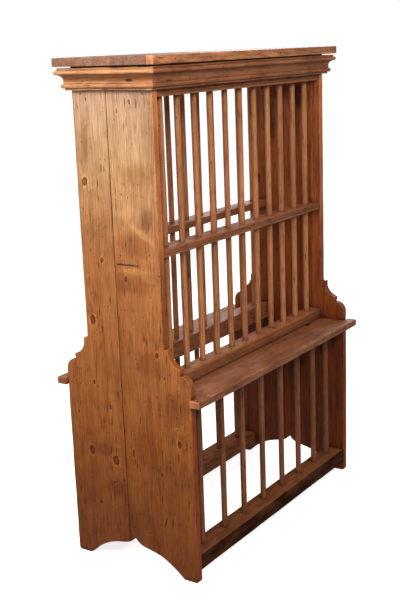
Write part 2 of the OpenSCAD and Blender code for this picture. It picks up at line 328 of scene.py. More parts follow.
def flat_board(node, loop, radius, material, seed):
    """A board that lies flat: its outline in X and Y carried through its thickness in Z."""
    loop = tidy_loop(walk(np.concatenate([loop, loop[:1]]), POINT_GAP)[:-1])
    arris = wear_radius(loop, seed, radius)
    rings, rub = board_rings(loop, low(node)[2], high(node)[2], arris, seed)
    verts, faces = loft(rings)
    rub = np.repeat(rub, len(loop))
    return add_piece("old_" + node, verts, faces, rub, material, [node])


def rectangle(x0, x1, y0, y1):
    """A rectangle as four corners."""
    return np.array([[x0, y0], [x1, y0], [x1, y1], [x0, y1]])


def shelf_outline(face):
    """The shelf in plan: full width in front of the ends, and cut back between them."""
    lo, hi = low("shelf_" + face), high("shelf_" + face)
    nose, back = (lo[1], hi[1]) if face == "front" else (hi[1], lo[1])
    notch = math.copysign(LOWER_Y, nose)
    return np.array([
        [lo[0], nose], [hi[0], nose], [hi[0], notch], [INNER_X, notch],
        [INNER_X, back], [-INNER_X, back], [-INNER_X, notch], [lo[0], notch],
    ])


# ---------- rails ----------

def round_corner(centre, radius, start):
    """A quarter of a small circle for the corner of a section."""
    return arc(centre, radius, start, start + 90, radius * 0.4)


REED_R = 0.0018                 # radius of the grooves along the front of a rail


def rail_section(y0, y1, z0, z1, radius, reeds):
    """Section of a rail with its front at y0: a rectangle with rounded corners and
    half-round grooves in the front face at the given fractions of its height."""
    r = radius
    front = [round_corner((y0 + r, z1 - r), r, 90)]
    for part in reeds:
        middle = z1 - (z1 - z0) * part
        front.append(arc((y0, middle), REED_R, 90, -90, 0.0007))
    corners = [
        round_corner((y0 + r, z0 + r), r, 180),
        round_corner((y1 - r, z0 + r), r, 270),
        round_corner((y1 - r, z1 - r), r, 0),
    ]
    return walk(np.concatenate(front + corners), 0.008)


def rail(node, radius, reeds, material, seed):
    """A rail between the ends: its section carried along X, a little uneven by hand."""
    lo, hi = low(node), high(node)
    turned = -1 if node.endswith("rear") else 1
    y0, y1 = (lo[1], hi[1]) if turned > 0 else (-hi[1], -lo[1])
    section = tidy_loop(rail_section(y0, y1, lo[2], hi[2], radius, reeds))
    let_in, uneven = 0.0005, 0.0003
    x = np.linspace(-INNER_X - let_in, INNER_X + let_in, 90)
    rings = np.empty((len(x), len(section), 3))
    rings[..., 0] = x[:, None]
    rings[..., 1:] = section[None]
    out = mitres(section)
    rings[..., 1:] -= out[None] * (uneven + ripple(rings, seed, 0.12, uneven))[..., None]
    rings[..., 1] *= turned
    rings[..., 0] *= turned
    verts, faces = loft(rings)
    corner = corner_rub(section, y0, y1, lo[2], hi[2])
    return add_piece("old_" + node, verts, faces, np.tile(corner, len(x)), material, [node])


def corner_rub(section, y0, y1, z0, z1):
    """How much each point of a section is rubbed: one at the corners, none 6 mm away."""
    dy = np.minimum(np.abs(section[:, 0] - y0), np.abs(section[:, 0] - y1))
    dz = np.minimum(np.abs(section[:, 1] - z0), np.abs(section[:, 1] - z1))
    return np.clip(1 - np.hypot(dy, dz) / 0.006, 0, 1)


# ---------- cornice ----------

def cornice_section():
    """Section of the moulding as distance out and height above its lower edge: a flat, a
    bead, a short neck, a cove, and the large bead at the top."""
    height = high("cornice_front")[2] - CORNICE_Z
    bead_r, cove_r = 0.007, 0.017
    parts = [
        [[0, 0], [0.013, 0], [0.013, 0.0067]],
        arc((0.015, 0.013), bead_r, -72, 82, 0.001),
        [[0.016, 0.029]],
        arc((0.033, 0.029), cove_r, 180, 90, 0.0015),
        arc((0.029, 0.052), bead_r, -60, 90, 0.001),
        [[0.029, height], [0, height]],
    ]
    return walk(np.concatenate([np.asarray(p, float) for p in parts]), 0.006)


def cornice_length(node, half_length, face_at, turn, material, seed):
    """One mitred length of the moulding. Along the rack its points lie at a fraction of the
    half length plus the distance out, so each end is cut at 45 degrees."""
    section = tidy_loop(cornice_section())
    along = np.linspace(-1, 1, 100 if half_length > 0.3 else 40)
    rings = np.empty((len(along), len(section), 3))
    rings[..., 0] = along[:, None] * (half_length + section[None, :, 0])
    rings[..., 1] = -(face_at + section[None, :, 0])
    rings[..., 2] = CORNICE_Z + section[None, :, 1]
    worn = ripple(rings, seed, 0.11, 0.0004) + ripple(rings, seed + 3, 0.03, 0.0002) + 0.0004
    fade = np.clip((1 - np.abs(along)) * 40, 0, 1)[:, None]
    outward = mitres(section)
    rings[..., 1] += worn * fade * outward[None, :, 0]
    rings[..., 2] -= worn * fade * outward[None, :, 1]
    spin = np.array(Matrix.Rotation(math.radians(turn), 3, "Z"))
    verts, faces = loft(rings @ spin.T)
    crest = np.clip((section[:, 0] - 0.017) / 0.014, 0, 1) * 0.8
    crest = np.tile(crest, len(along))
    return add_piece("old_" + node, verts, faces, crest, material, [node])


# ---------- spindles ----------

def spindle(node, material, seed):
    """A rod shaved by hand: a circle flattened eight times round, whose radius changes by a
    few hundredths along its length, on an axis that bows by up to a millimetre."""
    rng = np.random.default_rng(seed)
    lo, hi = low(node), high(node)
    radius = (hi[0] - lo[0]) / 2
    centre = (lo + hi) / 2
    z = np.linspace(lo[2], hi[2], 60)
    angle = np.linspace(0, 2 * math.pi, 20, endpoint=False)
    twist = rng.uniform(0, 0.8) + rng.normal() * 0.25 * (z - centre[2])
    flats = 1 - 0.022 * (1 - np.cos(8 * (angle[None] - twist[:, None])))
    along = 0.972 + ripple(z[:, None], seed, 0.16, 0.016) + ripple(z[:, None], seed + 1, 0.5, 0.012)
    r = np.minimum(radius * flats * along[:, None], radius)
    bow = np.sin(math.pi * (z - lo[2]) / (hi[2] - lo[2]))
    lean = rng.normal(size=2) * 0.0005
    rings = np.empty((len(z), len(angle), 3))
    rings[..., 0] = centre[0] + r * np.cos(angle) + (bow * lean[0])[:, None]
    rings[..., 1] = centre[1] + r * np.sin(angle) + (bow * lean[1])[:, None]
    rings[..., 2] = z[:, None]
    verts, faces = loft(rings)
    rub = np.zeros(len(verts))
    return add_piece("shaved_" + node, verts, faces, rub, material, [node])


# ---------- nails ----------

def nail_places():
    """Where each nail's head lies and which way the nail points, from the neighbours' boxes.
    Returns two arrays: the heads, and the unit directions."""
    heads, ways = [], []

    def drive(place, way):
        heads.append(place)
        ways.append(way)

    def level(node):
        return (low(node)[2] + high(node)[2]) / 2

    # through the ends into the shelves and rails
    in_ends = [(y, level("shelf_front")) for y in (0.115, 0.165, 0.222)]
    in_ends += [(y, level("bottom_rail_front")) for y in (0.180, 0.216)]
    in_ends += [(SPINDLE_Y, level(node)) for node in ("middle_rail_front", "top_rail_front")]
    for side in (-1, 1):
        for face in (-1, 1):
            for y, z in in_ends:
                drive((side * OUTER_X, face * y, z), (-side, 0, 0))
    # down through the waist rails into the shelves
    waist_z = high("waist_rail_front")[2]
    for face in (-1, 1):
        for x in (-OUTER_X + 0.041, -0.044, 0.044, OUTER_X - 0.041):
            drive((x, face * (SPINDLE_Y + 0.004), waist_z), (0, 0, -1))
    # through the neck of the cornice into the ends
    end_x = (OUTER_X + INNER_X) / 2
    neck_z = CORNICE_Z + 0.027
    neck_out = 0.016
    for side in (-1, 1):
        for face in (-1, 1):
            drive((side * end_x, face * (UPPER_Y + neck_out), neck_z), (0, -face, 0))
            drive((side * (OUTER_X + neck_out), face * 0.090, neck_z), (-side, 0, 0))
    # down through the top board into the ends, and through the lippings into its edges
    for side in (-1, 1):
        for y in (-0.105, 0.005, 0.105):
            drive((side * end_x, y, TOP), (0, 0, -1))
    for face in (-1, 1):
        for x in (-0.45, -0.15, 0.15, 0.45):
            drive((x, face * TOP_Y, level("top_board")), (0, -face, 0))
    return np.array(heads, float), np.array(ways, float)


def cut_nails(material):
    """Every nail as a tapered square shank under a low four-sided head, set at its place.
    Rings run from the crown of the head down to the point; each is a rounded square."""
    heads, ways = nail_places()
    rng = np.random.default_rng(5)
    # heights from the wood's face, and half widths: four rings for the head, three for the shank
    level = np.array([0.0007, 0.0004, -0.0002, -0.0012, -0.0013, -0.030, -0.045])
    width = np.array([0.0008, 0.0022, 0.0029, 0.0029, 0.0013, 0.0011, 0.0004])
    angle = np.radians(np.arange(8) * 45 + 22.5)
    verts, faces, start = [], [], 0
    for head, way in zip(heads, ways):
        side = np.array([way[2], way[0], way[1]])
        other = np.cross(way, side)
        turn = rng.uniform(0, math.pi)
        ring = np.cos(angle + turn)[:, None] * side + np.sin(angle + turn)[:, None] * other
        uneven = 1 + rng.normal(size=8)[:, None] * 0.06
        rings = head + way * -level[:, None, None] + ring * uneven * width[:, None, None]
        points, quads = loft(rings, start)
        verts.append(points)
        faces += quads
        start += len(points)
    verts = np.concatenate(verts)
    return add_piece("rusty_nails", verts, faces, np.zeros(len(verts)), material,
                     ["cut_nails"])


# ---------- materials ----------

def new_material(name):
    """A new material, as the material, its node tree and its surface shader."""
    material = bpy.data.materials.new(name)
    material.use_nodes = True
    tree = material.node_tree
    return material, tree, tree.nodes["Principled BSDF"]


def add(tree, kind, inputs=None, **settings):
    """A node of the kind, with its settings made and its inputs linked or filled."""
    node = tree.nodes.new("ShaderNode" + kind)
    for key, value in settings.items():
        setattr(node, key, value)
    for key, value in (inputs or {}).items():
        if isinstance(value, bpy.types.NodeSocket):
            tree.links.new(value, node.inputs[key])
        else:
            node.inputs[key].default_value = value
    return node


def calc(tree, operation, a, b=0.0, c=0.0):
    """One step of arithmetic, as a socket."""
    return add(tree, "Math", {0: a, 1: b, 2: c}, operation=operation).outputs[0]


def point(tree, x, y, z):
    """A point put together from its three parts."""
    return add(tree, "CombineXYZ", {0: x, 1: y, 2: z}).outputs[0]


def product(tree, *values):
    """All the values multiplied together."""
    total = values[0]
    for value in values[1:]:
        total = calc(tree, "MULTIPLY", total, value)
    return total


def vector(tree, operation, a, b=(0, 0, 0)):
    """One step of vector arithmetic, as a socket."""
    node = add(tree, "VectorMath", {0: a}, operation=operation)
    if isinstance(b, (int, float)):
        node.inputs["Scale"].default_value = b
    elif isinstance(b, bpy.types.NodeSocket):
        tree.links.new(b, node.inputs[1])
    else:
        node.inputs[1].default_value = b
    return node.outputs["Value" if operation in ("LENGTH", "DISTANCE") else "Vector"]


def between(tree, value, low_end, high_end, out_low=0.0, out_high=1.0):
    """The value moved smoothly from one range to another, and held at the ends."""
    node = add(tree, "MapRange", {0: value, 1: low_end, 2: high_end, 3: out_low, 4: out_high},
               interpolation_type="SMOOTHSTEP")
    return node.outputs[0]


def blend(tree, factor, a, b, kind="MIX"):
    """Two colours mixed, as a socket."""
    node = add(tree, "Mix", data_type="RGBA", blend_type=kind)
    for index, value in ((0, factor), (6, a), (7, b)):
        if isinstance(value, bpy.types.NodeSocket):
            tree.links.new(value, node.inputs[index])
        elif index == 0:
            node.inputs[index].default_value = value
        else:
            node.inputs[index].default_value = (*value, 1.0)
    return node.outputs[2]


def tint(tree, factor, colour, by):
    """The colour multiplied by another one, as far as the factor says."""
    return blend(tree, factor, colour, by, "MULTIPLY")


def noise(tree, place, size, detail=3.0, rough=0.55, output=0):
    """Noise over a place whose axes are first scaled by a size."""
    scaled = vector(tree, "MULTIPLY", place, size)
    node = add(tree, "TexNoise", {"Vector": scaled, "Scale": 1.0, "Detail": detail,
                                  "Roughness": rough})
    return node.outputs[output]


def tone_by_height(tree, height, stops):
    """A colour that changes with height through the given stops of height and colour."""
    reach = 1.6
    node = add(tree, "ValToRGB", {0: calc(tree, "DIVIDE", height, reach)})
    elements = node.color_ramp.elements
    while len(elements) < len(stops):
        elements.new(0.5)
    for element, (level, colour) in zip(elements, stops):
        element.position = level / reach
        element.color = (*colour, 1.0)
    return node.outputs[0]


def grain_place(tree, axis):
    """Object coordinates with the grain along the first axis, and their three parts."""
    coords = add(tree, "TexCoord").outputs["Object"]
    parts = add(tree, "SeparateXYZ", {0: coords}).outputs
    order = {"X": (0, 1, 2), "Y": (1, 0, 2), "Z": (2, 1, 0)}[axis]
    return point(tree, *(parts[n] for n in order)), parts


def spots(tree, place, size, share, low_end, high_end):
    """Scattered spots: the middles of some cells of a cell pattern, each of its own depth."""
    cells = add(tree, "TexVoronoi", {"Vector": vector(tree, "MULTIPLY", place, size),
                                     "Scale": 1.0})
    pick = add(tree, "SeparateColor", {0: cells.outputs["Color"]}).outputs
    chosen = calc(tree, "LESS_THAN", pick[0], share)
    depth = calc(tree, "MULTIPLY_ADD", pick[1], 0.65, 0.35)
    return product(tree, between(tree, cells.outputs["Distance"], low_end, high_end, 1.0, 0.0),
                   chosen, depth)


def knot_group():
    """A node group for one knot: how far it pushes the rings aside, its core, the dark ring
    round the core, and the pale swirl of grain outside that."""
    group = bpy.data.node_groups.new("Knot", "ShaderNodeTree")
    face = group.interface
    for name, kind in (("Place", "Vector"), ("Centre", "Vector"), ("Radius", "Float"),
                       ("Long", "Float")):
        face.new_socket(name=name, in_out="INPUT", socket_type="NodeSocket" + kind)
    for name in ("Push", "Core", "Ring", "Swirl"):
        face.new_socket(name=name, in_out="OUTPUT", socket_type="NodeSocketFloat")
    given = group.nodes.new("NodeGroupInput")
    made = group.nodes.new("NodeGroupOutput")
    away = vector(group, "SUBTRACT", given.outputs["Place"], given.outputs["Centre"])
    squeeze = point(group, calc(group, "DIVIDE", 1.0, given.outputs["Long"]), 1.0, 0.0)
    away = vector(group, "MULTIPLY", away, squeeze)
    uneven = noise(group, given.outputs["Place"], (55, 75, 75), 2.0)
    reach = calc(group, "DIVIDE", vector(group, "LENGTH", away), given.outputs["Radius"])
    reach = calc(group, "MULTIPLY", reach, between(group, uneven, 0.25, 0.75, 0.78, 1.25))
    push = calc(group, "MULTIPLY", between(group, reach, 0.3, 4.2, 1.0, 0.0),
                given.outputs["Radius"])
    core = between(group, reach, 0.75, 1.1, 1.0, 0.0)
    ring = calc(group, "MULTIPLY", between(group, reach, 0.62, 0.92),
                between(group, reach, 0.95, 1.25, 1.0, 0.0))
    swirl = calc(group, "MULTIPLY", between(group, reach, 1.0, 1.3),
                 between(group, reach, 1.35, 2.3, 1.0, 0.0))
    for name, value in (("Push", push), ("Core", core), ("Ring", ring), ("Swirl", swirl)):
        group.links.new(value, made.inputs[name])
    return group


KNOT = knot_group()


def knot_sum(tree, place, knots):
    """All of a board's knots together: pushes added, the rest at their greatest."""
    total = {"Push": 0.0, "Core": 0.0, "Ring": 0.0, "Swirl": 0.0}
    for along, across, radius, long in knots:
        node = tree.nodes.new("ShaderNodeGroup")
        node.node_tree = KNOT
        tree.links.new(place, node.inputs["Place"])
        node.inputs["Centre"].default_value = (along, across, 0)
        node.inputs["Radius"].default_value = radius
        node.inputs["Long"].default_value = long
        for name in total:
            how = "ADD" if name == "Push" else "MAXIMUM"
            total[name] = calc(tree, how, total[name], node.outputs[name])
    return total


def chance_knots(tree, place, seed, share):
    """Knots left to chance: one near the middle of some cells of a coarse cell pattern."""
    moved = vector(tree, "ADD", vector(tree, "MULTIPLY", place, (3.6, 7.5, 0.0)),
                   (seed * 3.7, seed * 1.9, 0))
    cell = add(tree, "TexVoronoi", {"Vector": moved, "Scale": 1.0, "Randomness": 0.8},
               voronoi_dimensions="2D")
    pick = add(tree, "SeparateColor", {0: cell.outputs["Color"]}).outputs
    chosen = calc(tree, "LESS_THAN", pick[0], share)
    radius = calc(tree, "MULTIPLY_ADD", pick[1], 0.05, 0.03)
    reach = calc(tree, "DIVIDE", cell.outputs["Distance"], radius)
    # two distances in radii, and what each output is up to the first and from the second on
    made = {
        "Push": (0.3, 4.5, 0.009, 0.0), "Core": (0.75, 1.1, 1.0, 0.0),
        "Ring": (0.9, 1.2, 0.8, 0.0), "Swirl": (1.0, 2.3, 1.0, 0.0),
    }
    return {name: calc(tree, "MULTIPLY", between(tree, reach, *ends), chosen)
            for name, ends in made.items()}


RING_WIDTH = 0.0042             # width of a yearly ring
OLD_WAX = (0.64, 0.54, 0.46)    # tint of wax gone brown


def tree_rings(tree, place, heart, push, scale):
    """Late wood of the yearly rings: circles round the heart, bent by noise and pushed aside
    by knots, each darkening slowly and ending at once, and each year of its own strength."""
    sway = noise(tree, place, (1.3, 5.0, 5.0), 2.0, 0.5, output=1)
    sway = vector(tree, "SCALE", vector(tree, "SUBTRACT", sway, (0.5, 0.5, 0.5)), 0.05)
    spot = vector(tree, "ADD", place, sway)
    spot = vector(tree, "SUBTRACT", spot, (0, heart[0], heart[1]))
    spot = vector(tree, "MULTIPLY", spot, (0, 1, 1))
    from_heart = calc(tree, "ADD", vector(tree, "LENGTH", spot), push)
    ring = calc(tree, "DIVIDE", from_heart, RING_WIDTH * scale)
    ring = calc(tree, "ADD", ring, product(tree, noise(tree, place, (3, 60, 60), 2.0), 0.9))
    part = calc(tree, "FRACT", ring)
    late = calc(tree, "MULTIPLY", between(tree, part, 0.35, 0.9),
                between(tree, part, 0.93, 1.0, 1.0, 0.0))
    year = add(tree, "TexWhiteNoise", {"W": calc(tree, "FLOOR", ring)}, noise_dimensions="1D")
    return product(tree, late, calc(tree, "MULTIPLY_ADD", year.outputs[0], 0.7, 0.35))


def grain_colour(tree, place, late, cloud, smear, fibre, pale, dark):
    """The pale colour darkened by the late wood, by broad streaks and bands along the grain,
    by clouds and smears of old wax, and by fine fibres."""
    streak = noise(tree, place, (1.6, 38, 38), 3.0, 0.6)
    band = noise(tree, place, (0.7, 11, 11), 2.0, 0.5)
    colour = blend(tree, calc(tree, "MULTIPLY", late, 0.5), pale, dark)
    colour = blend(tree, between(tree, streak, 0.42, 0.72, 0.0, 0.42), colour, dark)
    colour = tint(tree, between(tree, band, 0.40, 0.66, 0.0, 0.45), colour, (0.80, 0.72, 0.64))
    colour = tint(tree, between(tree, cloud, 0.48, 0.68, 0.0, 0.6), colour, OLD_WAX)
    colour = tint(tree, between(tree, cloud, 0.50, 0.36, 0.0, 0.5), colour, (1.14, 1.14, 1.12))
    colour = tint(tree, between(tree, smear, 0.5, 0.72, 0.0, 0.6), colour, OLD_WAX)
    fine = between(tree, fibre, 0.28, 0.72, 0.74, 1.2)
    return tint(tree, 1.0, colour, point(tree, fine, fine, fine))


def specks_and_dashes(tree, place):
    """Dark specks, and short dashes along the grain that lie in clusters."""
    speck = spots(tree, place, (60, 105, 105), 0.22, 0.10, 0.30)
    dash = spots(tree, place, (20, 130, 130), 0.42, 0.16, 0.42)
    dash = product(tree, dash, between(tree, noise(tree, place, (5, 10, 10), 2.0), 0.42, 0.54))
    return calc(tree, "MAXIMUM", speck, dash)


def knots_over(tree, place, knot, colour):
    """The colour with the knots on it: a pale swirl, a mottled core and a dark ring."""
    colour = tint(tree, product(tree, knot["Swirl"], 0.75), colour, (1.42, 1.40, 1.34))
    eye = between(tree, noise(tree, place, (150, 150, 150), 2.0), 0.35, 0.7)
    heartwood = blend(tree, eye, (0.38, 0.24, 0.15), (0.80, 0.56, 0.38))
    colour = tint(tree, product(tree, knot["Core"], 0.95), colour, heartwood)
    return tint(tree, product(tree, knot["Ring"], 0.9), colour, (0.28, 0.19, 0.13))


def rubbed_corners(tree, place, colour, wear):
    """The colour made paler on the corners that the rub attribute marks, broken by noise."""
    rub = add(tree, "Attribute", attribute_name="rub").outputs["Fac"]
    broken = between(tree, noise(tree, place, (26, 40, 40), 3.0), 0.40, 0.62)
    return tint(tree, product(tree, rub, broken, wear), colour, (1.55, 1.50, 1.42))


def end_tone_and_light(tree, parts, place, colour):
    """The colour of an end tinted by height, partly its own tone and partly painted light and
    shade, each in its own way on the outer face, the inner face and the narrow edges, with a dark
    line along the joint of its two boards."""
    # painted light and shade with the wood's own tone: a tint by height for each face
    tone = blend(tree, outer_face(tree, parts), tone_by_height(tree, parts[2], INSIDE),
                 tone_by_height(tree, parts[2], OUTSIDE))
    tone = blend(tree, edge_face(tree), tone, tone_by_height(tree, parts[2], EDGES))
    colour = tint(tree, 1.0, colour, tone)
    from_seam = calc(tree, "ABSOLUTE", calc(tree, "SUBTRACT", parts[1], JOINT_Y))
    seam = product(tree, between(tree, from_seam, 0.0010, 0.0030, 1.0, 0.0),
                   between(tree, noise(tree, place, (5, 30, 30), 3.0), 0.30, 0.62, 0.25, 0.95))
    return tint(tree, seam, colour, (0.30, 0.20, 0.14))


def corner_grime_and_shade(tree, place, colour):
    """The colour darkened where pieces meet, by how little open air a point sees: grime and
    painted shade in the corners, made patchy by noise.
    """
    open_air = add(tree, "AmbientOcclusion", {"Distance": 0.028}, samples=6).outputs["AO"]
    patchy = noise(tree, place, (18, 18, 18), 3.0)
    # grime and painted shade: darker where the occlusion node finds little open air
    grime = product(tree, between(tree, open_air, 0.86, 0.32),
                    between(tree, patchy, 0.2, 0.6, 0.55, 1.0))
    return tint(tree, grime, colour, (0.30, 0.22, 0.17))


def old_pine(name, axis, heart, pale, dark, ends=False, knots=(), share=0.0, seed=0, scale=1.0,
             dull=0.5, marks=None, wear=0.5, shine=0.28):
    """Old waxed pine, with its grain along an axis, cut from a log whose heart lies at the
    given place across the grain.

    Knots are given in a list, or left to chance in a share of cells. Over the grain lie specks,
    knots, rubbed corners, and grime with painted shade in the corners. The ends of the rack are
    toned by height, partly with painted light and shade, and marks adds one board's own marks.
    Dull is the roughness and shine the specular level."""
    material, tree, surface = new_material(name)
    fixed, parts = grain_place(tree, axis)
    place = vector(tree, "ADD", fixed, (seed * 0.731, 0, 0))
    knot = knot_sum(tree, fixed, knots)
    if share:
        for part, value in chance_knots(tree, place, seed, share).items():
            knot[part] = calc(tree, "ADD", knot[part], value)

    late = tree_rings(tree, place, heart, knot["Push"], scale)
    fibre = noise(tree, place, (14, 420, 420), 3.0, 0.65)
    cloud = noise(tree, place, (4.5, 9, 9), 5.0, 0.62)
    smear = noise(tree, place, (22, 34, 34), 4.0, 0.7)
    mark = specks_and_dashes(tree, place)
    colour = grain_colour(tree, place, late, cloud, smear, fibre, pale, dark)
    colour = tint(tree, calc(tree, "MULTIPLY", mark, 0.9), colour, (0.30, 0.18, 0.12))
    colour = knots_over(tree, place, knot, colour)
    colour = rubbed_corners(tree, place, colour, wear)
    # the ends get tints by height that are partly painted light and shade
    if ends:
        colour = end_tone_and_light(tree, parts, place, colour)
    if marks:
        colour = marks(tree, parts, colour)
    # grime and painted shade in the corners go on last
    tree.links.new(corner_grime_and_shade(tree, place, colour), surface.inputs["Base Color"])

    roughness = between(tree, cloud, 0.35, 0.7, dull - 0.06, dull + 0.14)
    tree.links.new(roughness, surface.inputs["Roughness"])
    surface.inputs["Specular IOR Level"].default_value = shine
    height = product(tree, late, 0.35)
    for layer, amount in ((fibre, 0.5), (smear, 0.8), (mark, -1.4), (knot["Core"], 0.5)):
        height = calc(tree, "MULTIPLY_ADD", layer, amount, height)
    bump = add(tree, "Bump", {"Height": height, "Strength": 0.55, "Distance": 0.0009})
    tree.links.new(bump.outputs[0], surface.inputs["Normal"])
    return material


# ---------- each board's own marks ----------

def outer_face(tree, parts):
    """One on the outer faces of the ends, and none from 6 mm inside them."""
    return between(tree, calc(tree, "ABSOLUTE", parts[0]), OUTER_X - 0.006, OUTER_X - 0.001)


def edge_face(tree):
    """One on faces that look along Y, which are the narrow edges of the ends."""
    normal = add(tree, "TexCoord").outputs["Normal"]
    across = add(tree, "SeparateXYZ", {0: normal}).outputs[1]
    return between(tree, calc(tree, "ABSOLUTE", across), 0.6, 0.8)


def end_grain(tree, parts):
    """One on the end grain of the top board and its lippings."""
    return between(tree, calc(tree, "ABSOLUTE", parts[0]), TOP_X - 0.008, TOP_X - 0.002)


def patch(tree, parts, y, z, wide, tall, turn=0.0, ragged=0.6):
    """A soft patch on a face in Y and Z: one inside an oval of the given half width and half
    height, fading over its outer part, with its edge broken along the grain by noise."""
    cos_t, sin_t = math.cos(turn), math.sin(turn)
    dy = calc(tree, "SUBTRACT", parts[1], y)
    dz = calc(tree, "SUBTRACT", parts[2], z)
    along = calc(tree, "MULTIPLY_ADD", dz, sin_t, product(tree, dy, cos_t))
    across = calc(tree, "MULTIPLY_ADD", dz, cos_t, product(tree, dy, -sin_t))
    a = calc(tree, "POWER", calc(tree, "DIVIDE", along, wide), 2.0)
    b = calc(tree, "POWER", calc(tree, "DIVIDE", across, tall), 2.0)
    reach = calc(tree, "SQRT", calc(tree, "ADD", a, b))
    where = point(tree, *parts)
    rough = calc(tree, "SUBTRACT", noise(tree, where, (60, 60, 20), 5.0, 0.7), 0.5)
    return between(tree, calc(tree, "MULTIPLY_ADD", rough, 2 * ragged, reach), 0.35, 1.05, 1.0, 0.0)


def patches(tree, parts, colour, face, marks):
    """The colour with soft patches on one face. Each has a tint, its strength, and its oval:
    the middle in Y and Z, half its width and height, and its turn."""
    for by, amount, oval in marks:
        colour = tint(tree, product(tree, patch(tree, parts, *oval), face, amount), colour, by)
    return colour


def left_front_marks(tree, parts, colour):
    """A split across the grain with a painted highlight under it, scuffs, and clouds of old wax on
    the left end's front board.
    """
    outer = outer_face(tree, parts)
    grey, brown = (0.70, 0.63, 0.58), (0.68, 0.56, 0.44)
    pale, bright = (1.14, 1.24, 1.38), (1.24, 1.40, 1.55)
    colour = patches(tree, parts, colour, outer, (
        (pale, 0.8, (-0.040, 1.150, 0.070, 0.035, 0.15)),
        (bright, 1.0, (-0.085, 1.090, 0.075, 0.014, 0.55)),
        (grey, 1.0, (-0.105, 1.130, 0.030, 0.045, 0.2)),
        (brown, 0.8, (-0.060, 1.050, 0.075, 0.045, 0.3)),
        # painted highlight: a pale band along the lower lip of the split
        (bright, 1.0, (-0.050, 0.974, 0.075, 0.012, 0.0)),
        (brown, 0.6, (-0.050, 0.930, 0.080, 0.035, 0.0)),
        (grey, 0.8, (-0.125, 1.430, 0.030, 0.200, 0.0)),
        (brown, 0.7, (-0.080, 1.260, 0.090, 0.050, 0.0)),
        (grey, 1.0, (-0.180, 0.560, 0.055, 0.060, 0.0)),
        (grey, 1.0, (-0.205, 0.450, 0.022, 0.045, 0.0)),
        (bright, 0.9, (-0.178, 0.500, 0.030, 0.007, -0.2)),
        (bright, 0.7, (-0.207, 0.455, 0.006, 0.030, 0.1)),
        (grey, 0.8, (-0.215, 0.660, 0.022, 0.045, -0.4)),
        (pale, 0.8, (-0.222, 0.170, 0.020, 0.160, 0.0)),
        (pale, 0.7, (-0.127, 0.265, 0.006, 0.040, 0.0)),
        (brown, 0.7, (-0.090, 0.690, 0.070, 0.060, 0.0)),
        (brown, 0.6, (-0.060, 0.420, 0.060, 0.090, 0.0)),
    ))
    # the split: a thin wavy line across the grain
    split_z, waviness = 0.988, 0.008
    wave = noise(tree, point(tree, parts[1], 0.0, 0.0), (70, 0, 0), 3.0)
    off = calc(tree, "SUBTRACT", parts[2], calc(tree, "MULTIPLY_ADD", wave, waviness, split_z))
    ends = product(tree, between(tree, parts[1], -0.088, -0.050),
                   between(tree, parts[1], 0.010, 0.016, 1.0, 0.0))
    line = product(tree, between(tree, calc(tree, "ABSOLUTE", off), 0.0012, 0.0040, 1.0, 0.0),
                   ends, outer)
    colour = tint(tree, line, colour, (0.22, 0.15, 0.10))
    # two short slanting splits near the foot
    for y, z, lean in ((-0.127, 0.182, 1.9), (-0.152, 0.182, 1.7)):
        slit = patch(tree, parts, y, z, 0.024, 0.0032, lean, 0.2)
        colour = tint(tree, product(tree, slit, outer), colour, (0.18, 0.12, 0.08))
    return colour


def left_rear_marks(tree, parts, colour):
    """Clouds of old wax and a long fine crack on the left end's rear board."""
    outer = outer_face(tree, parts)
    grey, brown, pale = (0.72, 0.62, 0.54), (0.70, 0.56, 0.44), (1.14, 1.20, 1.28)
    colour = patches(tree, parts, colour, outer, (
        (brown, 0.7, (0.110, 1.370, 0.016, 0.100, 0.0)),
        (pale, 0.8, (0.060, 1.420, 0.025, 0.120, 0.0)),
        (pale, 0.7, (0.100, 0.900, 0.030, 0.100, 0.0)),
        (pale, 0.7, (0.055, 0.560, 0.020, 0.110, 0.0)),
        (grey, 0.8, (0.110, 0.380, 0.075, 0.030, 0.0)),
        (brown, 0.8, (0.050, 0.260, 0.060, 0.040, 0.0)),
        (pale, 0.6, (0.160, 0.150, 0.040, 0.060, 0.0)),
    ))
    crack = patch(tree, parts, 0.116, 0.652, 0.125, 0.0018, -1.494, 0.15)
    return tint(tree, product(tree, crack, outer, 0.8), colour, (0.35, 0.24, 0.17))


def right_end_marks(tree, parts, colour):
    """Dark streaks and water stains on the inner face of the right end."""
    inner = calc(tree, "SUBTRACT", 1.0, outer_face(tree, parts))
    streaks = between(tree, noise(tree, point(tree, *parts), (40, 55, 3), 4.0, 0.65), 0.46, 0.64)
    colour = tint(tree, product(tree, streaks, inner, 0.7), colour, (0.40, 0.31, 0.25))
    stain = (0.22, 0.16, 0.13)
    return patches(tree, parts, colour, inner, [(stain, 0.9, oval) for oval in (
        (-0.150, 0.520, 0.022, 0.090, 0.0), (-0.195, 0.540, 0.016, 0.070, 0.0),
        (-0.060, 0.500, 0.030, 0.140, 0.0), (0.080, 0.540, 0.060, 0.050, 0.0),
        (-0.060, 1.430, 0.050, 0.060, 0.0), (0.060, 1.330, 0.030, 0.120, 0.0),
    )])


def dark_outward_faces(tree, parts, colour):
    """A near-black tint on the outward faces of the bottom rails, thin in places."""
    out = between(tree, calc(tree, "ABSOLUTE", parts[1]), LOWER_Y - 0.006, LOWER_Y - 0.002)
    where = point(tree, *parts)
    thin = between(tree, noise(tree, where, (9, 30, 30), 4.0, 0.6), 0.35, 0.7, 1.0, 0.6)
    # the outward faces of the bottom rails made darker than their tops
    return tint(tree, product(tree, out, thin), colour, (0.10, 0.065, 0.045))


